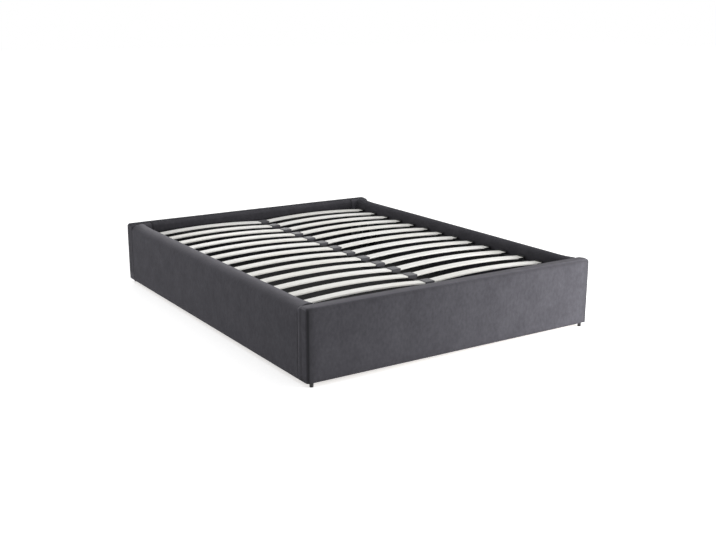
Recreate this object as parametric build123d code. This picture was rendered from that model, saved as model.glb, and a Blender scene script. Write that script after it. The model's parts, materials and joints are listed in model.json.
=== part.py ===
from build123d import *
import math
import os

# Ottoman storage bed. Millimetres, +Z up, +Y towards the head end.
# Origin: on the floor under the middle of the bed.

# Outer sizes
overall_length = 2070.0
overall_width = 1620.0
end_panel_height = 325.0
rail_below_end_panel = 10.0
side_rail_thickness = 84.0
end_panel_thickness = 78.0

# Padded covers: foam and velvet over a board core
padding = 15.0
rail_end_padding = 3.0
panel_edge_radius = 14.0
rail_shoulder_radius = 32.0
rail_end_edge_radius = 5.0

# Glides
glide_height = 22.0
glide_radius = 9.5
glide_foot_radius = 8.5
glide_side_inset = 30.0
glide_end_inset = 18.0
centre_glide_shares = (-0.31, 0.0, 0.31)

# Floor of the storage space
floor_batten_width = 25.0
floor_batten_height = 16.0
centre_beam_width = 44.0
floor_board_thickness = 6.0
floor_board_gap = 1.0
floor_board_side_gap = 0.5
floor_board_count = 3

# Steel tubes of the lifting platform
tube_width = 25.0
tube_height = 40.0
tube_wall = 1.5
tube_corner_radius = 3.0
tube_top_below_rail_top = 56.0
tube_to_rail_gap = 9.0
tube_to_head_panel_gap = 27.0
tube_to_foot_panel_gap = 10.0
plug_flange = 2.0
plug_depth = 12.0
plug_clearance = 0.2

# Slats: bowed, in two columns
slat_rows = 13
slat_width = 50.0
slat_thickness = 8.0
slat_bow = 14.0
slat_edge_chamfer = 1.2
slat_end_rise = 5.0
head_slat_inset = 69.0
foot_slat_inset = 183.5

# Slat caps on the centre tube and slat holders on the side tubes
cap_reach = 27.0
cap_web = 19.0
cap_wall = 3.0
cap_edge_chamfer = 2.0
slat_clearance = 0.4
holder_overhang = 10.0
holder_depth = 38.0
holder_end_wall = 4.0
holder_lip = 5.0
holder_side_share = 0.6

# Lift hinge: one on each side, a pivot pin and a link to the strut
pivot_from_head_panel = 77.0
pivot_below_tube = 13.0
arm_drop_angle = 2.3
strut_spread_angle = 54.0
lift_angle = 35.0
plate_thickness = 4.0
hinge_gap = 1.0
pivot_pin_radius = 6.0
pivot_head_radius = 8.0
pivot_head_thickness = 5.0
pivot_collar_radius = 11.0
running_clearance = 0.05
side_play = 0.1

# Hinge base plate, bolted to the rail
base_pivot_boss_radius = 24.0
base_foot_radius = 14.0
base_corner_setback = 10.0
base_floor_gap = 0.6
base_window_inset_share = 0.58
base_window_radius = 8.0

# Hinge arm, bolted under the side tube
arm_boss_radius = 14.0
arm_upstand = 34.0
arm_foot_overhang = 36.0
arm_head_overhang = 12.0
arm_corner_radius = 10.0
arm_slot_height = 12.0
arm_slot_length_share = 0.24
arm_slot_shares = (0.3, 0.64)
arm_bolt_shares = (0.09, 0.46, 0.82)

# Gas struts
stud_radius = 4.0
stud_collar_radius = 7.0
stud_head_radius = 6.5
stud_head_thickness = 2.0
strut_eye_radius = 9.0
strut_eye_thickness = 8.0
strut_eye_root = 8.0
strut_to_rail_gap = 18.0
strut_neck_radius = 5.5
strut_neck_length = 17.0
cylinder_radius = 11.0
cylinder_wall = 1.6
cylinder_base = 6.0
gland_to_rod_pin = 25.6
cylinder_edge_radius = 2.5
gland_length = 12.0
gland_clearance = 0.06
rod_radius = 5.0
piston_to_cylinder_pin = 31.6
piston_length = 10.0
piston_clearance = 0.1

# Rest battens and rubber pads under the platform
rest_batten_width = 30.0
rest_batten_height = 30.0
rest_batten_to_arm_gap = 10.0
rest_pad_height = 3.0
rest_pad_width = 14.0
rest_pad_length = 40.0
rest_pad_gap = 0.3
side_pad_shares = (0.08, 0.5, 0.94)
foot_pad_shares = (-0.5, 0.5)

# Corner brackets and frame bolts
bracket_leg = 45.0
bracket_thickness = 4.0
bracket_floor_gap = 26.0
bracket_batten_gap = 9.7
bracket_corner_radius = 6.0
bracket_bolt_from_corner = 28.0
bracket_bolt_shares = (0.2, 0.8)
bolt_radius = 4.0
bolt_length = 34.0
bolt_head_radius = 7.0
bolt_head_height = 3.5
bolt_head_edge = 1.5
bolt_hole_clearance = 0.15
arm_bolt_length = 12.0

# One overrun for every cut
overrun = 5.0

# Places worked out from the sizes
half_length = overall_length / 2
half_width = overall_width / 2
panel_top = glide_height + end_panel_height
rail_top = panel_top - rail_below_end_panel
clear_x = half_width - side_rail_thickness
clear_y = half_length - end_panel_thickness
panel_core_top = panel_top - padding
rail_core_top = rail_top - padding

floor_under = glide_height + floor_batten_height
floor_top = floor_under + floor_board_thickness

tube_top = rail_top - tube_top_below_rail_top
tube_base = tube_top - tube_height
side_tube_outer = clear_x - tube_to_rail_gap
side_tube_inner = side_tube_outer - tube_width
frame_head = clear_y - tube_to_head_panel_gap
frame_foot = -clear_y + tube_to_foot_panel_gap

slat_end_under = tube_top + slat_end_rise
span_inner = cap_reach
span_outer = side_tube_inner - holder_overhang
span_middle = (span_inner + span_outer) / 2
span_half = (span_outer - span_inner) / 2
slat_arc_radius = (span_half ** 2 + slat_bow ** 2) / (2 * slat_bow)
slat_arc_height = slat_end_under + slat_bow - slat_arc_radius
holder_outer = span_outer + holder_depth
slat_inner_end = cap_web / 2
slat_outer_end = holder_outer - holder_end_wall
slat_pitch = (2 * clear_y - head_slat_inset - foot_slat_inset) / (slat_rows - 1)

pivot_y = clear_y - pivot_from_head_panel
pivot_z = tube_base - pivot_below_tube
base_inner = clear_x - plate_thickness
arm_outer = base_inner - hinge_gap
arm_inner = arm_outer - plate_thickness
strut_plane = clear_x - strut_to_rail_gap - strut_eye_thickness / 2
eye_outer = strut_plane + strut_eye_thickness / 2
eye_inner = strut_plane - strut_eye_thickness / 2
drop = math.radians(arm_drop_angle)
spread = math.radians(arm_drop_angle + strut_spread_angle)
cylinder_pin_z = floor_top + base_floor_gap + base_foot_radius
link_length = (pivot_z - cylinder_pin_z) / math.sin(spread)
cylinder_pin_y = pivot_y - link_length * math.cos(spread)
rod_pin_y = pivot_y - link_length * math.cos(drop)
rod_pin_z = pivot_z - link_length * math.sin(drop)
strut_lean = math.degrees(math.atan2(cylinder_pin_y - rod_pin_y, rod_pin_z - cylinder_pin_z))
strut_closed = 2 * link_length * math.sin(math.radians(strut_spread_angle) / 2)
strut_open = 2 * link_length * math.sin(math.radians(strut_spread_angle + lift_angle) / 2)
cylinder_length = strut_closed - gland_to_rod_pin
rod_length = strut_closed - piston_to_cylinder_pin
bore_radius = cylinder_radius - cylinder_wall

arm_foot_end = rod_pin_y - arm_foot_overhang
arm_head_end = pivot_y + arm_head_overhang
arm_length = arm_head_end - arm_foot_end

rest_top = tube_base - rest_pad_gap - rest_pad_height
rest_base = rest_top - rest_batten_height
rest_head_end = arm_foot_end - rest_batten_to_arm_gap
bracket_base = floor_top + bracket_floor_gap
bracket_top = rest_base - bracket_batten_gap
bracket_height = bracket_top - bracket_base


def block(x0, x1, y0, y1, z0, z1):
    """A plain block between two corners."""
    middle = Pos((x0 + x1) / 2, (y0 + y1) / 2, (z0 + z1) / 2)
    return middle * Box(x1 - x0, y1 - y0, z1 - z0)


def other_side(shape):
    """The same piece on the left."""
    return mirror(shape, about=Plane.YZ)


def other_end(shape):
    """The same piece at the foot."""
    return mirror(shape, about=Plane.XZ)


def across(sketch, x0, x1):
    """A YZ outline made solid between two planes along X."""
    plane = Plane(origin=(x0, 0, 0), x_dir=(0, 1, 0), z_dir=(1, 0, 0))
    return extrude(plane * sketch, x1 - x0)


def pin_across(y, z, radius, x0, x1):
    """A round pin along X."""
    return across(Pos(y, z) * Circle(radius), x0, x1)


# Bolts and the holes they need

def bolt(seat, length):
    """A button-head bolt; the seat's normal points away from the work."""
    head = Cylinder(bolt_head_radius, bolt_head_height)
    head = chamfer(head.edges().group_by(Axis.Z)[-1], bolt_head_edge)
    shank = Cylinder(bolt_radius, length)
    return seat * (Pos(0, 0, bolt_head_height / 2) * head + Pos(0, 0, -length / 2) * shank)


def drill(seat, length):
    """The hole that a bolt needs, past its seat and its tip."""
    depth = length + 2 * overrun
    return seat * Pos(0, 0, overrun - depth / 2) * Cylinder(bolt_radius + bolt_hole_clearance, depth)


def tap(seat, length):
    """The blind hole that takes a bolt's whole length."""
    depth = length + bolt_hole_clearance
    hole = Cylinder(bolt_radius + bolt_hole_clearance, depth)
    return seat * Pos(0, 0, -depth / 2) * hole


def bracket_seats_on_rail():
    """Seats on the leg that lies on the right rail, head end."""
    x = clear_x - bracket_thickness
    y = clear_y - bracket_bolt_from_corner
    heights = [bracket_base + share * bracket_height for share in bracket_bolt_shares]
    return [Plane(origin=(x, y, z), z_dir=(-1, 0, 0)) for z in heights]


def bracket_seats_on_panel():
    """Seats on the leg that lies on the head panel, right end."""
    x = clear_x - bracket_bolt_from_corner
    y = clear_y - bracket_thickness
    heights = [bracket_base + share * bracket_height for share in bracket_bolt_shares]
    return [Plane(origin=(x, y, z), z_dir=(0, -1, 0)) for z in heights]


def hinge_seats():
    """Seats on the right hinge base plate, between its three corners."""
    corner_y = pivot_y + base_corner_setback
    places = [
        ((cylinder_pin_y + corner_y) / 2, cylinder_pin_z),
        ((pivot_y + corner_y) / 2, (pivot_z + cylinder_pin_z) / 2),
        ((pivot_y + cylinder_pin_y) / 2, (pivot_z + cylinder_pin_z) / 2),
        (corner_y, cylinder_pin_z),
    ]
    return [Plane(origin=(base_inner, y, z), z_dir=(-1, 0, 0)) for y, z in places]


def rail_taps():
    """Every bolt hole in the right rail."""
    near_head = [tap(seat, bolt_length) for seat in bracket_seats_on_rail()]
    near_foot = [other_end(hole) for hole in near_head]
    hinge = [tap(seat, bolt_length) for seat in hinge_seats()]
    return near_head + near_foot + hinge


def panel_taps():
    """Every bolt hole in the head panel."""
    right = [tap(seat, bolt_length) for seat in bracket_seats_on_panel()]
    return right + [other_side(hole) for hole in right]


def frame_bolts():
    """Bolts of the corner brackets and of the hinge base plates."""
    seats = bracket_seats_on_rail() + bracket_seats_on_panel()
    corner = [bolt(seat, bolt_length) for seat in seats]
    right = corner + [other_end(part) for part in corner]
    right += [bolt(seat, bolt_length) for seat in hinge_seats()]
    return right + [other_side(part) for part in right]


# Rails and end panels

def rail_core():
    """Board core of the right rail."""
    end = clear_y - rail_end_padding
    core = block(clear_x + padding, half_width - padding, -end, end, glide_height, rail_core_top)
    for hole in rail_taps():
        core -= hole
    return core


def rail_cover():
    """Padded cover of the right rail, open underneath for its core."""
    end = clear_y - rail_end_padding
    outer = block(clear_x, half_width, -clear_y, clear_y, glide_height, rail_top)
    top_edges = outer.edges().filter_by(Axis.Y).group_by(Axis.Z)[-1]
    outer = fillet(top_edges.sort_by(Axis.X)[:1], panel_edge_radius)
    top_edges = outer.edges().filter_by(Axis.Y).group_by(Axis.Z)[-1]
    outer = fillet(top_edges.sort_by(Axis.X)[-1:], rail_shoulder_radius)
    outer = fillet(outer.edges().filter_by(Axis.Z), rail_end_edge_radius)
    pocket = block(
        clear_x + padding, half_width - padding, -end, end, glide_height - overrun, rail_core_top
    )
    cover = outer - pocket
    for hole in rail_taps():
        cover -= hole
    return cover


def panel_core():
    """Board core of the head panel."""
    end = half_width - padding
    core = block(-end, end, clear_y + padding, half_length - padding, glide_height, panel_core_top)
    for hole in panel_taps():
        core -= hole
    return core


def panel_cover():
    """Padded cover of the head panel, open underneath for its core."""
    end = half_width - padding
    outer = block(-half_width, half_width, clear_y, half_length, glide_height, panel_top)
    upright = outer.edges().filter_by(Axis.Z)
    top = outer.edges().group_by(Axis.Z)[-1]
    outer = fillet(upright + top, panel_edge_radius)
    pocket = block(
        -end, end, clear_y + padding, half_length - padding, glide_height - overrun, panel_core_top
    )
    cover = outer - pocket
    for hole in panel_taps():
        cover -= hole
    return cover


def corner_brackets():
    """Four steel angles inside the corners."""
    near = clear_x - bracket_leg
    far = clear_y - bracket_leg
    on_rail = block(clear_x - bracket_thickness, clear_x, far, clear_y, bracket_base, bracket_top)
    on_panel = block(near, clear_x, clear_y - bracket_thickness, clear_y, bracket_base, bracket_top)
    free_x = on_rail.edges().filter_by(Axis.X).group_by(Axis.Y)[0]
    free_y = on_panel.edges().filter_by(Axis.Y).group_by(Axis.X)[0]
    angle = fillet(free_x, bracket_corner_radius) + fillet(free_y, bracket_corner_radius)
    for seat in bracket_seats_on_rail() + bracket_seats_on_panel():
        angle -= drill(seat, bracket_thickness)
    right = [angle, other_end(angle)]
    return right + [other_side(part) for part in right]


def glides():
    """Round feet at the corners and under the centre beam."""
    foot = Pos(0, 0, glide_height / 2) * Cone(glide_foot_radius, glide_radius, glide_height)
    x = half_width - glide_side_inset
    y = half_length - glide_end_inset
    corners = [(sx * x, sy * y) for sx in (-1, 1) for sy in (-1, 1)]
    middle = [(0, share * 2 * half_length) for share in centre_glide_shares]
    return [Pos(px, py, 0) * foot for px, py in corners + middle]


# Storage floor

def floor_battens():
    """Ledges round the floor and a beam along the middle."""
    inner_x = clear_x - floor_batten_width
    inner_y = clear_y - floor_batten_width
    side = block(inner_x, clear_x, -clear_y, clear_y, glide_height, floor_under)
    end = block(-inner_x, inner_x, inner_y, clear_y, glide_height, floor_under)
    half_beam = centre_beam_width / 2
    beam = block(-half_beam, half_beam, -inner_y, inner_y, glide_height, floor_under)
    return [side, other_side(side), end, other_end(end), beam]


def floor_boards():
    """Boards side by side across the bed."""
    edge = clear_x - floor_board_side_gap
    start = -clear_y + floor_board_side_gap
    room = 2 * (clear_y - floor_board_side_gap) - (floor_board_count - 1) * floor_board_gap
    length = room / floor_board_count
    boards = []
    for index in range(floor_board_count):
        y = start + index * (length + floor_board_gap)
        boards.append(block(-edge, edge, y, y + length, floor_under, floor_top))
    return boards


# Rest battens

def rest_battens():
    """Timber ledges that the closed platform rests on."""
    inner = clear_x - rest_batten_width
    side = block(inner, clear_x, -clear_y, rest_head_end, rest_base, rest_top)
    foot = block(-inner, inner, -clear_y, -clear_y + rest_batten_width, rest_base, rest_top)
    return [side, other_side(side), foot]


def rest_pads():
    """Rubber pads between battens and tubes."""
    x = (side_tube_inner + side_tube_outer) / 2
    y_foot = -clear_y + (tube_to_foot_panel_gap + rest_batten_width) / 2
    pad = fillet(
        Box(rest_pad_width, rest_pad_length, rest_pad_height).edges().filter_by(Axis.Z),
        rest_pad_height,
    )
    lift = rest_top + rest_pad_height / 2
    run = rest_head_end - frame_foot
    pads = []
    for share in side_pad_shares:
        right = Pos(x, frame_foot + share * run, lift) * pad
        pads += [right, other_side(right)]
    for share in foot_pad_shares:
        pads.append(Pos(share * side_tube_inner, y_foot, lift) * Rot(0, 0, 90) * pad)
    return pads


# Lifting platform

def tube_section():
    """Hollow rectangular section, rounded inside and out."""
    outer = RectangleRounded(tube_width, tube_height, tube_corner_radius)
    inner = RectangleRounded(
        tube_width - 2 * tube_wall, tube_height - 2 * tube_wall, tube_corner_radius - tube_wall
    )
    return outer - inner


def tube_along_y(x, y0, y1):
    """A tube from y0 to y1 with its middle at x."""
    middle_z = (tube_base + tube_top) / 2
    plane = Plane(origin=(x, y0, middle_z), x_dir=(-1, 0, 0), z_dir=(0, 1, 0))
    return extrude(plane * tube_section(), y1 - y0)


def tube_along_x(y, x0, x1):
    """A tube from x0 to x1 with its middle at y."""
    middle_z = (tube_base + tube_top) / 2
    plane = Plane(origin=(x0, y, middle_z), x_dir=(0, 1, 0), z_dir=(1, 0, 0))
    return extrude(plane * tube_section(), x1 - x0)


def arm_seats():
    """Seats of the arm's bolts, under the right arm."""
    x = (side_tube_inner + side_tube_outer) / 2
    z = tube_base - plate_thickness
    places = [arm_foot_end + share * arm_length for share in arm_bolt_shares]
    return [Plane(origin=(x, y, z), z_dir=(0, 0, -1)) for y in places]


def side_tube():
    """Right side tube with its bolt holes."""
    x = (side_tube_inner + side_tube_outer) / 2
    tube = tube_along_y(x, frame_foot, frame_head)
    for seat in arm_seats():
        tube -= tap(seat, arm_bolt_length)
    return tube


def tube_end_plugs():
    """Plastic plugs in the open ends of the side tubes."""
    x = (side_tube_inner + side_tube_outer) / 2
    z = (tube_base + tube_top) / 2
    plane = Plane(origin=(x, frame_head, z), x_dir=(-1, 0, 0), z_dir=(0, 1, 0))
    flange = extrude(plane * RectangleRounded(tube_width, tube_height, tube_corner_radius), plug_flange)
    cut = 2 * (tube_wall + plug_clearance)
    plug = RectangleRounded(tube_width - cut, tube_height - cut, tube_corner_radius - tube_wall)
    head = flange + extrude(plane * plug, -plug_depth)
    foot = Pos(0, frame_foot + frame_head, 0) * other_end(head)
    return [head, other_side(head), foot, other_side(foot)]


def slat_height(x, extra):
    """Height of a slat's curve at x, raised by extra."""
    radius = slat_arc_radius + extra
    return slat_arc_height + math.sqrt(radius ** 2 - (x - span_middle) ** 2)


def bowed_strip(x0, x1, under, over, width):
    """A curved strip between two concentric arcs, centred on y 0."""
    middle = (x0 + x1) / 2
    low = [(x, 0, slat_height(x, under)) for x in (x0, middle, x1)]
    high = [(x, 0, slat_height(x, over)) for x in (x0, middle, x1)]
    outline = [
        ThreePointArc(*low),
        Line(low[2], high[2]),
        ThreePointArc(*high),
        Line(high[0], low[0]),
    ]
    return extrude(make_face(outline), width / 2, dir=(0, 1, 0), both=True)


def slat_place(row):
    """The middle of a row, counted from the head."""
    return clear_y - head_slat_inset - row * slat_pitch


def slat():
    """A right-hand slat at y 0, its upper edges eased."""
    strip = bowed_strip(slat_inner_end, slat_outer_end, 0, slat_thickness, slat_width)
    long_edges = strip.edges().filter_by(GeomType.CIRCLE)
    return chamfer(long_edges, slat_edge_chamfer)


def slat_room():
    """The room that a slat's ends need in their plastic pieces."""
    return bowed_strip(
        slat_inner_end - slat_clearance,
        slat_outer_end + slat_clearance,
        -slat_clearance,
        slat_thickness + slat_clearance,
        slat_width + 2 * slat_clearance,
    )


def centre_cap():
    """A double cap that takes two slats over the centre tube, at y 0."""
    half = slat_width / 2 + slat_clearance + cap_wall
    top = slat_height(span_inner, slat_thickness) + slat_clearance + cap_wall
    body = block(-cap_reach, cap_reach, -half, half, tube_top, top)
    rims = body.edges().group_by(Axis.Z)[-1] + body.edges().filter_by(Axis.Z)
    body = chamfer(rims, cap_edge_chamfer)
    room = slat_room()
    return body - room - other_side(room)


def side_holder():
    """A tray for a slat's outer end over the right side tube, at y 0, with a lip on its tip."""
    half = slat_width / 2 + slat_clearance + cap_wall
    top = slat_height(span_outer, slat_thickness) + slat_clearance + cap_wall
    body = block(span_outer, holder_outer, -half, half, tube_top, top)
    rims = body.edges().group_by(Axis.Z)[-1] + body.edges().filter_by(Axis.Z)
    body = chamfer(rims, cap_edge_chamfer)
    rim = slat_height(span_outer, holder_side_share * slat_thickness)
    lip = slat_outer_end - holder_lip
    open_top = block(span_outer - overrun, lip, -half - overrun, half + overrun, rim, top + overrun)
    return body - slat_room() - open_top


def centre_slat_caps():
    """One double cap for each row."""
    cap = centre_cap()
    return [Pos(0, slat_place(row), 0) * cap for row in range(slat_rows)]


def side_slat_holders():
    """One holder at each end of each row."""
    right = side_holder()
    left = other_side(right)
    rows = [Pos(0, slat_place(row), 0) for row in range(slat_rows)]
    return [place * part for place in rows for part in (right, left)]


# Lift hinges

def hinge_base():
    """Right base plate with the stud that carries the strut's cylinder."""
    corner_y = pivot_y + base_corner_setback
    corners = [(pivot_y, pivot_z), (cylinder_pin_y, cylinder_pin_z), (corner_y, cylinder_pin_z)]
    radii = [base_pivot_boss_radius, base_foot_radius, base_foot_radius]
    rounds = [Pos(*corner) * Circle(radius) for corner, radius in zip(corners, radii)]
    outline = make_hull([disc.edge() for disc in rounds])
    triangle = Polygon(*corners, align=None)
    inscribed = 2 * triangle.area / sum(edge.length for edge in triangle.edges())
    inset = base_window_inset_share * inscribed
    window = offset(triangle, -inset)
    window = fillet(window.vertices(), min(base_window_radius, (inscribed - inset) / 2))
    hole = Pos(pivot_y, pivot_z) * Circle(pivot_pin_radius + running_clearance)
    plate = across(outline - window - hole, base_inner, clear_x)
    for seat in hinge_seats():
        plate -= drill(seat, plate_thickness)
    return plate + strut_stud(cylinder_pin_y, cylinder_pin_z, base_inner)


def strut_stud(y, z, wall):
    """A stepped stud from a plate through a strut's eye, riveted over."""
    collar = pin_across(y, z, stud_collar_radius, eye_outer + side_play, wall)
    pin = pin_across(y, z, stud_radius, eye_inner - side_play, eye_outer + side_play)
    tip = eye_inner - side_play
    head = pin_across(y, z, stud_head_radius, tip - stud_head_thickness, tip)
    return collar + pin + head


def pivot_bolt():
    """Right pivot pin: through base plate, spacer collar and arm, headed inside."""
    pin = pin_across(pivot_y, pivot_z, pivot_pin_radius, arm_inner - side_play, clear_x)
    collar = pin_across(pivot_y, pivot_z, pivot_collar_radius, arm_outer + side_play, base_inner)
    tip = arm_inner - side_play
    head = pin_across(pivot_y, pivot_z, pivot_head_radius, tip - pivot_head_thickness, tip)
    return pin + collar + head


def arm_outline():
    """Side view of the arm: two bosses hulled together under an upstand."""
    bosses = [
        Pos(pivot_y, pivot_z) * Circle(arm_boss_radius),
        Pos(rod_pin_y, rod_pin_z) * Circle(arm_boss_radius),
    ]
    web = make_hull([disc.edge() for disc in bosses])
    shelf = tube_base - plate_thickness
    upstand = shelf + plate_thickness + arm_upstand
    middle = Pos((arm_foot_end + arm_head_end) / 2, (shelf + upstand) / 2)
    plate = middle * RectangleRounded(arm_length, upstand - shelf, arm_corner_radius)
    corners = Pos((arm_foot_end + arm_head_end) / 2, shelf + plate_thickness)
    plate += corners * Rectangle(arm_length, 2 * plate_thickness)
    return web + plate


def hinge_arm():
    """Right arm: an angle that the side tube sits in, with the rod's stud."""
    shelf = tube_base - plate_thickness
    side = arm_outline() - Pos(pivot_y, pivot_z) * Circle(pivot_pin_radius + running_clearance)
    slot = SlotOverall(arm_slot_length_share * arm_length, arm_slot_height)
    for share in arm_slot_shares:
        place = Pos(arm_foot_end + share * arm_length, (tube_base + tube_top) / 2)
        side -= place * slot
    arm = across(side, arm_inner, arm_outer)
    ledge = block(side_tube_inner, arm_outer, arm_foot_end, arm_head_end, shelf, tube_base)
    ledge = fillet(ledge.edges().filter_by(Axis.Z).group_by(Axis.X)[0], arm_corner_radius)
    arm += ledge
    for seat in arm_seats():
        arm -= drill(seat, plate_thickness)
    return arm + strut_stud(rod_pin_y, rod_pin_z, arm_inner)


# Gas struts, drawn upright from their pins

def strut_place(y, z):
    """Stands a strut piece on its pin, leaning along the strut."""
    return Pos(strut_plane, y, z) * Rot(strut_lean, 0, 0)


def strut_eye():
    """The flat eye at a strut's end, with its bore along X."""
    return Rot(0, 90, 0) * Cylinder(strut_eye_radius, strut_eye_thickness)


def strut_bore():
    """The bore of the eye, cut past both faces."""
    length = strut_eye_thickness + 2 * overrun
    return Rot(0, 90, 0) * Cylinder(stud_radius + running_clearance, length)


def rise(radius, z0, z1):
    """A round bar on the strut's axis."""
    return Pos(0, 0, (z0 + z1) / 2) * Cylinder(radius, z1 - z0)


def strut_cylinder():
    """Right cylinder: eye, neck and barrel with a gland at its mouth."""
    barrel = rise(cylinder_radius, strut_neck_length, cylinder_length)
    rims = barrel.edges().filter_by(GeomType.CIRCLE)
    barrel = fillet(rims, cylinder_edge_radius)
    neck = rise(strut_neck_radius, strut_eye_root, strut_neck_length)
    body = strut_eye() + neck + barrel
    room_base = strut_neck_length + cylinder_base
    room = rise(bore_radius, room_base, cylinder_length - gland_length)
    mouth = rise(rod_radius + gland_clearance, cylinder_length - gland_length, cylinder_length + overrun)
    body = body - room - mouth - strut_bore()
    return strut_place(cylinder_pin_y, cylinder_pin_z) * body


def strut_rod():
    """Right rod: eye above, piston inside the barrel below."""
    shaft = rise(rod_radius, -rod_length, -strut_eye_root)
    piston = rise(bore_radius - piston_clearance, -rod_length, piston_length - rod_length)
    body = strut_eye() + shaft + piston - strut_bore()
    return strut_place(rod_pin_y, rod_pin_z) * body


def write(name, shapes):
    """Writes one node, a single solid or a group of separate ones."""
    pieces = shapes if isinstance(shapes, list) else [shapes]
    solids = [solid for piece in pieces for solid in piece.solids()]
    node = solids[0] if len(solids) == 1 else Compound(solids)
    export_step(node, os.path.join("parts", name + ".step"))


def write_pair(name, right):
    """Writes a right-hand piece and its mirror image."""
    write(name + "_right", right)
    write(name + "_left", other_side(right))


os.makedirs("parts", exist_ok=True)

write_pair("side_rail_core", rail_core())
write_pair("side_rail_cover", rail_cover())
head_core = panel_core()
head_cover = panel_cover()
write("head_panel_core", head_core)
write("head_panel_cover", head_cover)
write("foot_panel_core", other_end(head_core))
write("foot_panel_cover", other_end(head_cover))
write("corner_brackets", corner_brackets())
write("frame_bolts", frame_bolts())
write("glides", glides())
write("floor_battens", floor_battens())
write("floor_boards", floor_boards())
write("rest_battens", rest_battens())
write("rest_pads", rest_pads())

write_pair("lift_side_tube", side_tube())
head_tube_y = frame_head - tube_width / 2
foot_tube_y = frame_foot + tube_width / 2
write("lift_head_tube", tube_along_x(head_tube_y, -side_tube_inner, side_tube_inner))
write("lift_foot_tube", tube_along_x(foot_tube_y, -side_tube_inner, side_tube_inner))
write("lift_centre_tube", tube_along_y(0, frame_foot + tube_width, frame_head - tube_width))
write("tube_end_plugs", tube_end_plugs())
write("centre_slat_caps", centre_slat_caps())
write("side_slat_holders", side_slat_holders())
right_slat = slat()
for row in range(slat_rows):
    here = Pos(0, slat_place(row), 0) * right_slat
    write(f"slat_right_{row + 1:02d}", here)
    write(f"slat_left_{row + 1:02d}", other_side(here))

write_pair("hinge_base", hinge_base())
write_pair("hinge_arm", hinge_arm())
right_pivot = pivot_bolt()
write("pivot_bolts", [right_pivot, other_side(right_pivot)])
right_arm_bolts = [bolt(seat, arm_bolt_length) for seat in arm_seats()]
write("arm_bolts", right_arm_bolts + [other_side(part) for part in right_arm_bolts])
write_pair("strut_cylinder", strut_cylinder())
write_pair("strut_rod", strut_rod())

engaged = cylinder_length + rod_length - strut_open - gland_length - piston_length
print("pivot", pivot_y, pivot_z)
print("rod pin", rod_pin_y, rod_pin_z)
print("cylinder pin", cylinder_pin_y, cylinder_pin_z)
print("link", link_length, "strut closed", strut_closed, "open", strut_open)
print("piston left below the gland when open", engaged)
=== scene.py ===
"""Ottoman storage bed: velvet-covered box, bowed birch slats, lifting steel platform."""

import json
import math

import bmesh
import bpy
from mathutils import Matrix, Vector, noise


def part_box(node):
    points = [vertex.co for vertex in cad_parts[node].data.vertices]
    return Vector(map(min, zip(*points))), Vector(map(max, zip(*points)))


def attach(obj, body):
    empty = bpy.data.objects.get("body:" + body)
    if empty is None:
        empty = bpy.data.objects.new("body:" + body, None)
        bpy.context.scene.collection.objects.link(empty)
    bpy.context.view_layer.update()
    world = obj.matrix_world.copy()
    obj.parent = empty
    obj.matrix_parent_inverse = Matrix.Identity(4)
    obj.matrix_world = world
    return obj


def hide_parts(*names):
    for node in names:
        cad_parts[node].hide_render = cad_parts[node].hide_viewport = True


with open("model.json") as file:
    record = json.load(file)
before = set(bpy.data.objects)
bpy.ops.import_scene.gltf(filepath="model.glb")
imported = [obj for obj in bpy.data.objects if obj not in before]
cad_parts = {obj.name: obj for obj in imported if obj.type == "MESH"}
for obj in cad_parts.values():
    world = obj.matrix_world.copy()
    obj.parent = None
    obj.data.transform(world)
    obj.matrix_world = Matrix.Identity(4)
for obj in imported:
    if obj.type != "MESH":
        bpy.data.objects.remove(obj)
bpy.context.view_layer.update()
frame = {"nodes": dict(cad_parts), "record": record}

MM = 0.001
SCENE = bpy.context.scene

# Outer form of the padded covers
EDGE_ROUND = 14 * MM  # a panel's edges, and a rail's inner top edge
EDGE_STEPS = 6
SHOULDER_DEPTH = 36 * MM  # how far below the top a rail's padded shoulder begins
SHOULDER_REACH = 54 * MM  # how far in over the top it runs
SHOULDER_STEPS = 16
JOINT_ROUND = 2 * MM  # where a rail and a panel butt together
JOINT_STEPS = 2
CROWN_DEPTH = 2 * SHOULDER_DEPTH  # how far below the top a crown fades out
RAIL_CROWN = 4 * MM  # how much higher a rail's top is at its shoulder than inside
PANEL_CROWN = 4 * MM
PANEL_CREST = 0.4  # share of a panel's crown that stands above its block
INNER_FALL = 3 * MM  # how much lower a panel's inner top edge lies
CORNER_FILL = 7 * MM  # how much fuller a rail's foam is at the panels
FILL_LENGTH = 120 * MM
FILL_CUTS = (0.1, 0.25, 0.45)  # where that length is cut, as shares of it
SHOULDER_CUTS = (0.6, 0.8, 1.0)  # where a rail's level top is cut, as shares of it

# Foam under the cloth, and the pocket for the board core
CELL = 45 * MM  # spacing of the cuts through each cover
TOP_CELL = 7 * MM  # spacing of those that shape a panel's top
SWELL = 1.6 * MM
SWELL_HOLD = 6  # the higher, the nearer to an edge the swell reaches
FOAM_WAVE = 0.6 * MM
WAVE_LENGTH = 260 * MM
PADDING = 15 * MM
RAIL_END_PADDING = 3 * MM

# Sewn seams: how deep and how wide they draw the cloth in and darken it with painted shade, and where they
# lie
SEAM_PINCH = 2.5 * MM
SEAM_WIDTH = 10 * MM
SEAM_CUTS = (-1, -0.5, 0, 0.5, 1)  # where the cloth beside a seam is cut, as shares of its width
CORNER_TURN = 4 * MM  # from the middle of a corner's rounding to its seam
LONG_SEAM = 48 * MM  # from a panel's outer face to the seam along it
END_STRIP = 42 * MM  # width of the strips sewn to the head panel's inner face

# How hard each seam pulls the cloth in, and how dark the shade painted along it is
CORNER_PULL = 1.2
LONG_PULL = 0.6
JOINT_PULL = 0.5
STRIP_PULL = 1.0
# a rail's end seams give painted shade only; the rails' cloth is not drawn in
RAIL_END_PULL = 0.3

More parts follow.
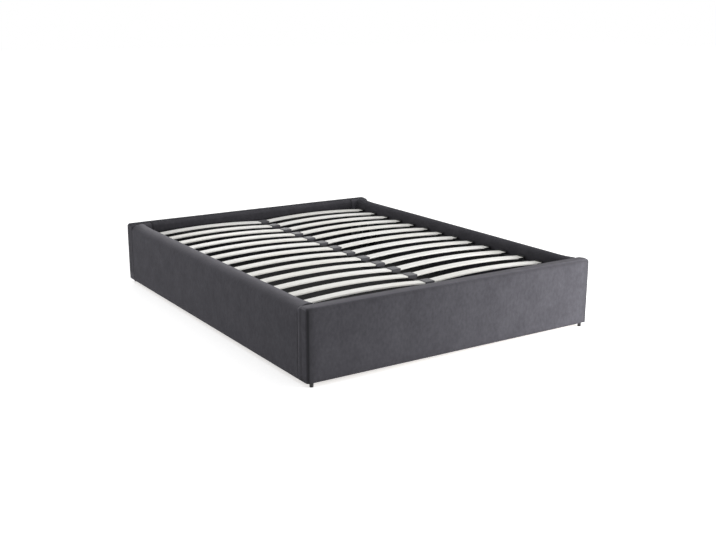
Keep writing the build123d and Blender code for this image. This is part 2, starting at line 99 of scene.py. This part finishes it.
# Pile: what counts as an end of a cover, and what as its inner face
END_ON = 0.3  # sine of the angle between the surface's normal and the cover's length, at most
FACING_IN = 0.5  # cosine of the angle between its normal and the way in, at least

# How near counts as the same place, in metres
SAME_PLACE = 0.01 * MM
CUT_SNAP = 1e-6
WELD = 1e-5
BASE_BAND = 0.5 * MM  # points this near to a cover's base stay in place
ROUNDING_SLACK = 1 * MM  # takes in the last points of a rounding


# Colours and material nodes

def linear(colour):
    """An sRGB hex colour as linear red, green, blue and alpha."""
    parts = [int(colour[i:i + 2], 16) / 255 for i in (1, 3, 5)]
    return [p / 12.92 if p <= 0.04045 else ((p + 0.055) / 1.055) ** 2.4 for p in parts] + [1]


def add(tree, kind, inputs=None, stops=(), **settings):
    """Adds a node with its settings. An input is a value or the socket that feeds it, and the
    stops of a colour ramp are a place and a colour for each of its ends."""
    made = tree.nodes.new(kind)
    for name, value in settings.items():
        setattr(made, name, value)
    for socket, value in (inputs or {}).items():
        if isinstance(value, bpy.types.NodeSocket):
            tree.links.new(value, made.inputs[socket])
        else:
            made.inputs[socket].default_value = value
    if stops:
        for end, (position, colour) in zip(made.color_ramp.elements, stops):
            end.position = position
            end.color = linear(colour)
    return made


def new_material(name):
    """A material with nothing but its output."""
    made = bpy.data.materials.new(name)
    made.use_nodes = True
    tree = made.node_tree
    tree.nodes.clear()
    return made, tree, tree.nodes.new("ShaderNodeOutputMaterial")


def finish_surface(tree, out, shader):
    """Joins a finished shader to its output."""
    tree.links.new(shader.outputs[0], out.inputs["Surface"])


# Sizes of the velvet's patterns, and how far its brushed pile leans the shading
BRUSHED_PATCH = 90 * MM
STROKE_WIDTH = 13 * MM
STROKE_HEIGHT = 20 * MM
TUFT_SPACING = 3.2 * MM
TUFT_RELIEF = 0.8 * MM
NAP_LEAN = 0.6


def velvet():
    """Short-pile polyester velvet: dark where it faces the eye, paler where the pile is
    seen from its side, so each change in the lie of the nap shows as a change of grey."""
    made, tree, out = new_material("velvet_charcoal")
    place = add(tree, "ShaderNodeTexCoord").outputs["Object"]
    # Brushed patches where the pile lies differently
    patches = add(tree, "ShaderNodeTexNoise", {"Vector": place, "Scale": 1 / BRUSHED_PATCH, "Detail": 1.0})
    # Short strokes left by the brush, drawn coarser than real so that they show
    upright = add(tree, "ShaderNodeMapping", {
        "Vector": place, "Scale": (1 / STROKE_WIDTH, 1 / STROKE_WIDTH, 1 / STROKE_HEIGHT)})
    strokes = add(tree, "ShaderNodeTexNoise", {"Vector": upright.outputs[0], "Scale": 1.0, "Detail": 2.0})
    # Pile tufts, drawn coarser than the real 0.5 mm so that they show
    tufts = add(tree, "ShaderNodeTexNoise", {"Vector": place, "Scale": 1 / TUFT_SPACING, "Detail": 2.0})
    tone = add(tree, "ShaderNodeValToRGB", {"Fac": patches.outputs["Fac"]},
               stops=((0.3, "#3a393e"), (0.7, "#403f44")))
    stroked = add(tree, "ShaderNodeMix", {
        "Factor": 0.32, "A": tone.outputs["Color"], "B": strokes.outputs["Fac"]},
        data_type="RGBA", blend_type="SOFT_LIGHT")
    mottle = add(tree, "ShaderNodeMix", {
        "Factor": 0.16, "A": stroked.outputs["Result"], "B": tufts.outputs["Fac"]},
        data_type="RGBA", blend_type="SOFT_LIGHT")
    # Painted shade: cloth is darkened towards near black by how deep it lies in a seam
    seam = add(tree, "ShaderNodeAttribute", attribute_name="seam")
    painted_seam_shade = add(tree, "ShaderNodeMix", {
        "Factor": seam.outputs["Fac"], "A": mottle.outputs["Result"], "B": linear("#242427")},
        data_type="RGBA")
    # The nap leans the shading normal along the way the pile was brushed
    nap = add(tree, "ShaderNodeAttribute", attribute_name="nap")
    normal = add(tree, "ShaderNodeNewGeometry").outputs["Normal"]
    lean = add(tree, "ShaderNodeVectorMath", {0: nap.outputs["Vector"], "Scale": NAP_LEAN},
               operation="SCALE")
    leaned = add(tree, "ShaderNodeVectorMath", {0: normal, 1: lean.outputs[0]}, operation="ADD")
    unit = add(tree, "ShaderNodeVectorMath", {0: leaned.outputs[0]}, operation="NORMALIZE")
    bump = add(tree, "ShaderNodeBump", {"Height": tufts.outputs["Fac"], "Strength": 0.5,
                                        "Distance": TUFT_RELIEF, "Normal": unit.outputs[0]})
    shader = add(tree, "ShaderNodeBsdfPrincipled", {
        "Base Color": painted_seam_shade.outputs["Result"], "Roughness": 0.95, "IOR": 1.35,
        "Sheen Weight": 0.17, "Sheen Roughness": 0.4, "Sheen Tint": linear("#e6e2f0"),
        "Normal": bump.outputs[0]})
    finish_surface(tree, out, shader)
    return made


# Sizes of the slats' grain, and of the slow drift of tone over and between slats
GRAIN_LENGTH = 160 * MM
GRAIN_WIDTH = 2.5 * MM
GRAIN_DEPTH = 20 * MM
GRAIN_RELIEF = 0.2 * MM
DRIFT_LENGTH = 700 * MM
DRIFT_WIDTH = 140 * MM


def birch():
    """Laminated birch slats, sanded and sealed: near white, matt, with long fine grain
    that only shows close by."""
    made, tree, out = new_material("birch_laminated")
    place = add(tree, "ShaderNodeTexCoord").outputs["Object"]
    # Grain lines along the slat, drawn coarser than the real 0.5 mm so that they show
    stretched = add(tree, "ShaderNodeMapping", {
        "Vector": place, "Scale": (1 / GRAIN_LENGTH, 1 / GRAIN_WIDTH, 1 / GRAIN_DEPTH)})
    grain = add(tree, "ShaderNodeTexNoise", {
        "Vector": stretched.outputs[0], "Scale": 1.0, "Detail": 4.0, "Roughness": 0.6})
    colour = add(tree, "ShaderNodeValToRGB", {"Fac": grain.outputs["Fac"]},
                 stops=((0.25, "#ebebe6"), (0.6, "#f7f6f3")))
    # Slow changes of tone from slat to slat
    drift = add(tree, "ShaderNodeMapping", {
        "Vector": place, "Scale": (1 / DRIFT_LENGTH, 1 / DRIFT_WIDTH, 1.0)})
    tone = add(tree, "ShaderNodeTexNoise", {"Vector": drift.outputs[0], "Scale": 1.0, "Detail": 1.0})
    tinted = add(tree, "ShaderNodeValToRGB", {"Fac": tone.outputs["Fac"]},
                 stops=((0.35, "#f8f7f4"), (0.65, "#ffffff")))
    mixed = add(tree, "ShaderNodeMix", {
        "Factor": 1.0, "A": colour.outputs["Color"], "B": tinted.outputs["Color"]},
        data_type="RGBA", blend_type="MULTIPLY")
    bump = add(tree, "ShaderNodeBump", {
        "Height": grain.outputs["Fac"], "Strength": 0.2, "Distance": GRAIN_RELIEF})
    shader = add(tree, "ShaderNodeBsdfPrincipled", {
        "Base Color": mixed.outputs["Result"], "Roughness": 0.62, "IOR": 1.5, "Specular IOR Level": 0.3,
        "Normal": bump.outputs[0]})
    finish_surface(tree, out, shader)
    return made


def grained(name, dark, light, grain_mm, roughness, bump_mm=0.1, metallic=0.0, stretch=(1, 1, 1)):
    """A surface whose tone and relief both follow one grain. A grain finer than a millimetre
    is drawn a millimetre or more across, so that it shows close by."""
    made, tree, out = new_material(name)
    place = add(tree, "ShaderNodeTexCoord").outputs["Object"]
    sized = add(tree, "ShaderNodeMapping", {
        "Vector": place, "Scale": [along / (grain_mm * MM) for along in stretch]})
    grain = add(tree, "ShaderNodeTexNoise", {"Vector": sized.outputs[0], "Scale": 1.0, "Detail": 3.0})
    colour = add(tree, "ShaderNodeValToRGB", {"Fac": grain.outputs["Fac"]},
                 stops=((0.3, dark), (0.7, light)))
    bump = add(tree, "ShaderNodeBump", {
        "Height": grain.outputs["Fac"], "Strength": 0.4, "Distance": bump_mm * MM})
    shader = add(tree, "ShaderNodeBsdfPrincipled", {
        "Base Color": colour.outputs["Color"], "Roughness": roughness, "Metallic": metallic,
        "Normal": bump.outputs[0]})
    finish_surface(tree, out, shader)
    return made


VELVET = velvet()
BIRCH = birch()
# Powder-coated steel tube: near black, satin, with a fine orange peel
POWDER_COAT = grained("powder_coated_steel", "#18181a", "#202022", grain_mm=2.0, roughness=0.5)
# Zinc-plated steel: light grey, slightly mottled, half bright
ZINC = grained("zinc_plated_steel", "#9a9ca0", "#b4b6ba", grain_mm=6.0, roughness=0.35, metallic=1.0)
# Hard-chromed rod: bright, nearly plain
CHROME = grained("chromed_rod", "#c2c4c8", "#cfd1d4", grain_mm=3.0, roughness=0.12, bump_mm=0.02,
                 metallic=1.0)
# Enamelled strut barrel: black and glossy
ENAMEL = grained("black_enamel", "#101012", "#161618", grain_mm=8.0, roughness=0.25, bump_mm=0.03)
# Moulded polypropylene caps: dark grey with a fine spark texture
POLYPROPYLENE = grained("moulded_polypropylene", "#3c3b40", "#4a494e", grain_mm=1.2, roughness=0.55)
# Moulded nylon trays and plugs: black, satin
NYLON = grained("moulded_nylon", "#141415", "#1b1b1d", grain_mm=1.5, roughness=0.5)
# Moulded glides: black and plain
GLIDE_PLASTIC = grained("moulded_glide_plastic", "#0c0c0d", "#131314", grain_mm=1.5, roughness=0.5)
# Rubber pads: matt black
RUBBER = grained("rubber_pad", "#121212", "#1b1b1b", grain_mm=1.0, roughness=0.85)
# Particle board core: warm brown chips about 6 mm across
CHIPBOARD = grained("particle_board", "#8f7656", "#b89c74", grain_mm=6.0, roughness=0.8, bump_mm=0.3)
# Planed softwood battens, near black: straight grain still shows in the sheen
NEAR_BLACK_SOFTWOOD = grained("near_black_softwood", "#191817", "#24221f", grain_mm=3.0, roughness=0.6,
                           bump_mm=0.2, stretch=(1, 0.02, 1))
# Laminated floor boards: black with a faint tooth
FLOOR_LAMINATE = grained("black_laminate", "#121213", "#19191a", grain_mm=2.5, roughness=0.85)

# The finish of each slot in the record but velvet, which only the new covers wear
SLOT_MATERIALS = {
    "birch": BIRCH, "frame_steel": POWDER_COAT, "zinc_steel": ZINC, "rod_steel": CHROME,
    "strut_black": ENAMEL, "black_plastic": POLYPROPYLENE, "glide_plastic": GLIDE_PLASTIC,
    "rubber": RUBBER, "board": CHIPBOARD, "batten_timber": NEAR_BLACK_SOFTWOOD, "floor_board": FLOOR_LAMINATE,
}

# Nodes that are moulded in another plastic than the slat caps of their slot
NODE_MATERIALS = {"side_slat_holders": NYLON, "tube_end_plugs": NYLON}


def dress_nodes():
    """Gives each CAD node that stays in view its own finish."""
    slots = {part["node"]: part["material_slot"] for part in frame["record"]["subparts"]}
    for name, piece in frame["nodes"].items():
        finish = NODE_MATERIALS.get(name) or SLOT_MATERIALS.get(slots[name])
        if finish:
            for slot in piece.material_slots:
                slot.material = finish


# Padded covers

def near(a, b):
    """Whether two places along an axis are the same."""
    return abs(a - b) < SAME_PLACE


def lies_at(item, height):
    """Whether an edge or a face lies at one height."""
    return all(near(vert.co.z, height) for vert in item.verts)


def edges_where(shape, test):
    """Edges both of whose ends pass a test."""
    return [edge for edge in shape.edges if all(test(vert.co) for vert in edge.verts)]


def round_off(shape, edges, radius, steps):
    """Rounds edges over, in a number of flat steps."""
    bmesh.ops.bevel(shape, geom=edges, offset=radius, offset_type="OFFSET", segments=steps,
                    profile=0.5, affect="EDGES", material=-1, clamp_overlap=True)


def cut_across(shape, axis, places):
    """Cuts a shape along flat planes across one axis."""
    across = Vector((0, 0, 0))
    across[axis] = 1
    for place in places:
        bmesh.ops.bisect_plane(shape, geom=shape.verts[:] + shape.edges[:] + shape.faces[:],
                               plane_co=across * place, plane_no=across, dist=CUT_SNAP)


def cut_cells(shape, low, high):
    """Cuts a shape into cells, so that foam can swell between its edges."""
    for axis in range(3):
        count = max(1, round((high[axis] - low[axis]) / CELL))
        step = (high[axis] - low[axis]) / count
        cut_across(shape, axis, [low[axis] + step * index for index in range(1, count)])


def block_of(low, high):
    """A plain block to be shaped."""
    shape = bmesh.new()
    bmesh.ops.create_cube(shape, size=1.0)
    bmesh.ops.scale(shape, vec=high - low, verts=shape.verts)
    bmesh.ops.translate(shape, vec=(low + high) / 2, verts=shape.verts)
    return shape


def core_pocket(shape, low, high, inset):
    """Opens the underside and makes the pocket that the board core stands in."""
    under = [face for face in shape.faces if lies_at(face, low.z)]
    bmesh.ops.delete(shape, geom=under, context="FACES_ONLY")
    core_low, core_high = low + Vector(inset), high - Vector(inset)
    rim = [edge for edge in shape.edges if edge.is_boundary]
    for rise in (0, high.z - low.z - PADDING):
        made = bmesh.ops.extrude_edge_only(shape, edges=rim)["geom"]
        for vert in (item for item in made if isinstance(item, bmesh.types.BMVert)):
            vert.co.x = min(max(vert.co.x, core_low.x), core_high.x)
            vert.co.y = min(max(vert.co.y, core_low.y), core_high.y)
            vert.co.z += rise
        rim = [item for item in made if isinstance(item, bmesh.types.BMEdge)]
    bmesh.ops.contextual_create(shape, geom=rim)


def foam_swell(shape, low, high, inward):
    """Foam under cloth: all but the inner face crowns a little and is never quite even."""
    middle, half = (low + high) / 2, (high - low) / 2
    shape.normal_update()
    moves = []
    for vert in shape.verts:
        normal = vert.normal
        amount = SWELL + FOAM_WAVE * noise.noise(vert.co / WAVE_LENGTH)
        amount *= min(1.0, max(0.0, 1 - 2 * normal.dot(inward)))
        for axis in range(3):
            share = min(1.0, abs(vert.co[axis] - middle[axis]) / half[axis])
            amount *= 1 - share ** SWELL_HOLD * (1 - abs(normal[axis]))
        moves.append((vert, normal * amount))
    for vert, move in moves:
        if vert.co.z > low.z + BASE_BAND:
            vert.co += move


def upright_seam(x, y, pull):
    """An upright seam at one place, as its stretch in x, its stretch in y and its pull."""
    return (x, x), (y, y), pull


def full_seam(y, pull):
    """A seam that goes over a cover from one side of the bed to the other."""
    return (-math.inf, math.inf), (y, y), pull


def seam_depth(place, seams):
    """How deep a point lies in the seam that draws it in most, from 0 to 1."""
    depth = 0.0
    for across, along, pull in seams:
        away = [value - min(max(value, first), last)
                for value, (first, last) in ((place.x, across), (place.y, along))]
        depth = max(depth, pull * (1 - math.hypot(*away) / SEAM_WIDTH))
    return min(1.0, depth)


def pinch_seams(shape, low, seams):
    """Draws the cloth in along its seams."""
    shape.normal_update()
    for vert in shape.verts:
        if vert.co.z > low.z + BASE_BAND:
            vert.co -= vert.normal * SEAM_PINCH * seam_depth(vert.co, seams)


def brush_pile(mesh, inward, seams, strip):
    """Stores how deep each point lies in a seam, which sets the shade painted there, and the lie of
    the pile: up the outside, over the top to the bed's middle and down the inside, but up the
    inside beyond a strip's seam."""
    turn = Vector((0, 0, 1)).cross(inward)
    mesh.attributes.new("nap", "FLOAT_VECTOR", "POINT")
    mesh.attributes.new("seam", "FLOAT", "POINT")
    # Looked up again by name, because making an attribute can move an earlier one
    stored = mesh.attributes["nap"].data, mesh.attributes["seam"].data
    for vert, lie_item, seam_shade_item in zip(mesh.vertices, *stored):
        lie = turn.cross(vert.normal)
        if lie.length < END_ON:
            lie = Vector((0, 0, 1))
        if strip and abs(vert.co.x) > strip and vert.normal.dot(inward) > FACING_IN:
            lie = -lie
        lie_item.vector = lie.normalized()
        seam_shade_item.value = seam_depth(vert.co, seams)


def hand_over(shape, name, replaced, inward, seams, strip=0.0):
    """Turns a finished shape into a padded piece that stands for its CAD cover."""
    bmesh.ops.remove_doubles(shape, verts=shape.verts, dist=WELD)
    bmesh.ops.recalc_face_normals(shape, faces=shape.faces)
    mesh = bpy.data.meshes.new(name)
    shape.to_mesh(mesh)
    shape.free()
    mesh.shade_smooth()
    brush_pile(mesh, inward, seams, strip)
    piece = bpy.data.objects.new(name, mesh)
    SCENE.collection.objects.link(piece)
    mesh.materials.append(VELVET)
    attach(piece, "base")
    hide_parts(replaced)


def draw_in_shoulder(shape, low, outer, inward):
    """Stretches a rail's rounded outer edge inwards, so that its top falls away slowly."""
    for vert in shape.verts:
        drawn_in = abs(vert.co.x - outer)
        if drawn_in < SHOULDER_DEPTH + ROUNDING_SLACK and vert.co.z > low.z + BASE_BAND:
            vert.co.x += inward.x * drawn_in * (SHOULDER_REACH / SHOULDER_DEPTH - 1)


def rail_cover(name, replaced):
    """Side rail cover: small rounding inside, top that falls away in a wide padded shoulder
    outside, and foam that fills up towards the end panels."""
    low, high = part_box(replaced)
    inner, outer = (low.x, high.x) if low.x > 0 else (high.x, low.x)
    inward = Vector((math.copysign(1, inner - outer), 0, 0))
    summit = high + Vector((0, 0, RAIL_CROWN))
    shape = block_of(low, summit)
    for x, radius, steps in ((inner, EDGE_ROUND, EDGE_STEPS), (outer, SHOULDER_DEPTH, SHOULDER_STEPS)):
        top_edge = edges_where(shape, lambda co: near(co.z, summit.z) and near(co.x, x))
        round_off(shape, top_edge, radius, steps)
    draw_in_shoulder(shape, low, outer, inward)
    rims = [edge for y in (low.y, high.y) for edge in edges_where(shape, lambda co: near(co.y, y))
            if not lies_at(edge, low.z)]
    round_off(shape, rims, JOINT_ROUND, JOINT_STEPS)
    cut_cells(shape, low, summit)
    flat = abs(outer - inner) - SHOULDER_REACH
    cut_across(shape, 0, [inner - inward.x * flat * share for share in SHOULDER_CUTS])
    cut_across(shape, 1, [side * (high.y - FILL_LENGTH * share) for side in (-1, 1) for share in FILL_CUTS])
    for vert in shape.verts:
        height = max(0.0, 1 - (summit.z - vert.co.z) / CROWN_DEPTH)
        fallen = max(0.0, 1 - abs(vert.co.x - inner) / flat)
        filled = max(0.0, 1 - (high.y - abs(vert.co.y)) / FILL_LENGTH)
        vert.co.z += height * (CORNER_FILL * filled ** 2 - RAIL_CROWN * fallen ** 2)
    foam_swell(shape, low, summit, inward)
    core_pocket(shape, low, high, (PADDING, RAIL_END_PADDING, 0))
    # At a rail's ends the seams are painted shade alone; the rail's cloth is not drawn in
    seams = [full_seam(y, RAIL_END_PULL) for y in (low.y, high.y)]
    hand_over(shape, name, replaced, inward, seams)


def panel_seams(low, high, inner, outer, inward, strip):
    """Seams of an end panel: near its outer corners, along its length, at its joints with the
    rails, and where it has strips, from its inner face over its top."""
    setback = EDGE_ROUND * (1 - 0.5 ** 0.5)
    corner_y = outer + inward.y * setback
    seams = [full_seam(outer + inward.y * LONG_SEAM, LONG_PULL)]
    for x in (low.x, high.x):
        corner_x = x - math.copysign(setback + CORNER_TURN, x)
        seams += [upright_seam(corner_x, corner_y, CORNER_PULL), upright_seam(x, inner, JOINT_PULL)]
    if strip:
        seams += [((x, x), (low.y, outer - LONG_SEAM), STRIP_PULL) for x in (-strip, strip)]
    return seams


def panel_cover(name, replaced, strips):
    """End panel cover: crowned top, rounded top and outer edges and sewn seams. The head panel
    also has a sewn strip at each end of its inner face."""
    low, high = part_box(replaced)
    inward = Vector((0, -math.copysign(1, low.y), 0))
    inner, outer = (high.y, low.y) if inward.y > 0 else (low.y, high.y)
    shape = block_of(low, high)
    edges = edges_where(shape, lambda co: near(co.z, high.z))
    edges += [edge for edge in edges_where(shape, lambda co: near(co.y, outer))
              if edge not in edges and not lies_at(edge, low.z)]
    round_off(shape, edges, EDGE_ROUND, EDGE_STEPS)
    butted = [edge for x in (low.x, high.x)
              for edge in edges_where(shape, lambda co: near(co.x, x) and near(co.y, inner))]
    round_off(shape, butted, JOINT_ROUND, JOINT_STEPS)
    cut_cells(shape, low, high)
    middle, half = (low.y + high.y) / 2, (high.y - low.y) / 2
    steps = range(1 - int(half / TOP_CELL), int(half / TOP_CELL))
    cut_across(shape, 1, [middle + TOP_CELL * step for step in steps])
    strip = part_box("side_rail_cover_right")[0].x - END_STRIP if strips else 0.0
    if strips:
        cut_across(shape, 0, [x + SEAM_WIDTH * share for x in (-strip, strip) for share in SEAM_CUTS])
    for vert in shape.verts:
        height = max(0.0, 1 - (high.z - vert.co.z) / CROWN_DEPTH)
        across = (vert.co.y - middle) / half
        fallen = max(0.0, across * inward.y)
        vert.co.z += height * (PANEL_CROWN * (PANEL_CREST - across ** 2) - INNER_FALL * fallen ** 2)
    foam_swell(shape, low, high, inward)
    seams = panel_seams(low, high, inner, outer, inward, strip)
    pinch_seams(shape, low, seams)
    core_pocket(shape, low, high, (PADDING, PADDING, 0))
    hand_over(shape, name, replaced, inward, seams, strip)


# Room, lights and camera

FLOOR_REACH = 40  # metres from the middle to each side
PAPER_GLOW = 0.55  # lifts the floor's grey to white for the eye, gloss and glass


def seen_direct(tree):
    """1 where the eye, a gloss or a glass looks straight at the surface, otherwise 0."""
    path = add(tree, "ShaderNodeLightPath")
    glossy = add(tree, "ShaderNodeMath", {
        0: path.outputs["Is Camera Ray"], 1: path.outputs["Is Glossy Ray"]}, operation="ADD")
    return add(tree, "ShaderNodeMath", {0: glossy.outputs[0], 1: path.outputs["Is Transmission Ray"]},
               operation="ADD", use_clamp=True).outputs[0]


def studio_floor():
    """Pale seamless floor that keeps the bed's shadow."""
    shape = bmesh.new()
    bmesh.ops.create_grid(shape, x_segments=1, y_segments=1, size=FLOOR_REACH)
    mesh = bpy.data.meshes.new("studio_floor")
    shape.to_mesh(mesh)
    shape.free()
    floor = bpy.data.objects.new("studio_floor", mesh)
    SCENE.collection.objects.link(floor)
    made, tree, out = new_material("studio_paper")
    paper = add(tree, "ShaderNodeBsdfDiffuse", {"Color": linear("#e8e8e8")})
    lift = add(tree, "ShaderNodeEmission", {"Color": (1, 1, 1, 1), "Strength": PAPER_GLOW})
    dark = add(tree, "ShaderNodeEmission", {"Strength": 0.0})
    veil = add(tree, "ShaderNodeMixShader", {0: seen_direct(tree), 1: dark.outputs[0], 2: lift.outputs[0]})
    both = add(tree, "ShaderNodeAddShader", {0: paper.outputs[0], 1: veil.outputs[0]})
    finish_surface(tree, out, both)
    mesh.materials.append(made)


def softbox(name, place, aim, size, power):
    """A white lamp panel, with its places and size in metres and its power in watts."""
    data = bpy.data.lights.new(name, "AREA")
    data.shape = "RECTANGLE"
    data.size, data.size_y = size
    data.energy = power
    light = bpy.data.objects.new(name, data)
    light.location = place
    light.visible_camera = False
    light.rotation_euler = (Vector(aim) - Vector(place)).to_track_quat("-Z", "Y").to_euler()
    SCENE.collection.objects.link(light)


def white_room(level):
    """Even light from all round; the eye, gloss and glass see plain white."""
    world = bpy.data.worlds.new("white_room")
    SCENE.world = world
    world.use_nodes = True
    tree = world.node_tree
    tree.nodes.clear()
    out = tree.nodes.new("ShaderNodeOutputWorld")
    light = add(tree, "ShaderNodeBackground", {"Color": (1, 1, 1, 1), "Strength": level})
    white = add(tree, "ShaderNodeBackground", {"Color": (1, 1, 1, 1), "Strength": 1.0})
    mixed = add(tree, "ShaderNodeMixShader", {
        0: seen_direct(tree), 1: light.outputs[0], 2: white.outputs[0]})
    finish_surface(tree, out, mixed)


def camera(place, yaw, pitch, roll, lens):
    """Camera with its yaw from +Y towards +X, its pitch below level and its roll in degrees, its
    place in metres and its focal length in millimetres."""
    yaw, pitch, roll = (math.radians(angle) for angle in (yaw, pitch, roll))
    ahead = Vector((math.sin(yaw) * math.cos(pitch), math.cos(yaw) * math.cos(pitch), -math.sin(pitch)))
    level = Vector((math.cos(yaw), -math.sin(yaw), 0))
    above = level.cross(ahead)
    right = level * math.cos(roll) + above * math.sin(roll)
    up = above * math.cos(roll) - level * math.sin(roll)
    data = bpy.data.cameras.new("photo_camera")
    data.lens = lens
    data.sensor_width = 36.0
    data.clip_end = 200.0
    made = bpy.data.objects.new("photo_camera", data)
    turned = Matrix((right, up, -ahead)).transposed().to_4x4()
    made.matrix_world = Matrix.Translation(place) @ turned
    SCENE.collection.objects.link(made)
    SCENE.camera = made


# The photograph's viewpoint, fitted to the bed's outline in it
camera(place=(-2.7438, -4.3940, 1.5108), yaw=33.033, pitch=14.422, roll=0.116, lens=49.713)
SCENE.view_settings.view_transform = "Standard"

dress_nodes()
rail_cover("velvet_rail_left", "side_rail_cover_left")
rail_cover("velvet_rail_right", "side_rail_cover_right")
panel_cover("velvet_head_panel", "head_panel_cover", strips=True)
panel_cover("velvet_foot_panel", "foot_panel_cover", strips=False)

studio_floor()
white_room(level=0.7)
softbox("low_window_behind", place=(2.4, 8.7, 1.8), aim=(0, 0, 0.3), size=(3.2, 1.4), power=290)
softbox("low_window_right", place=(6.4, 6.4, 1.8), aim=(0, 0, 0.3), size=(3.2, 1.4), power=50)
softbox("right_softbox", place=(1.3, -2.2, 0.56), aim=(0.3, -1.0, 0.25), size=(1.2, 0.6), power=49)
softbox("right_skirt", place=(1.7, -2.0, 0.4), aim=(0.6, -1.0, 0.2), size=(0.9, 0.5), power=12)
softbox("left_fill", place=(-3.6, 0.6, 0.9), aim=(0, 0.2, 0.2), size=(2.0, 1.0), power=25)
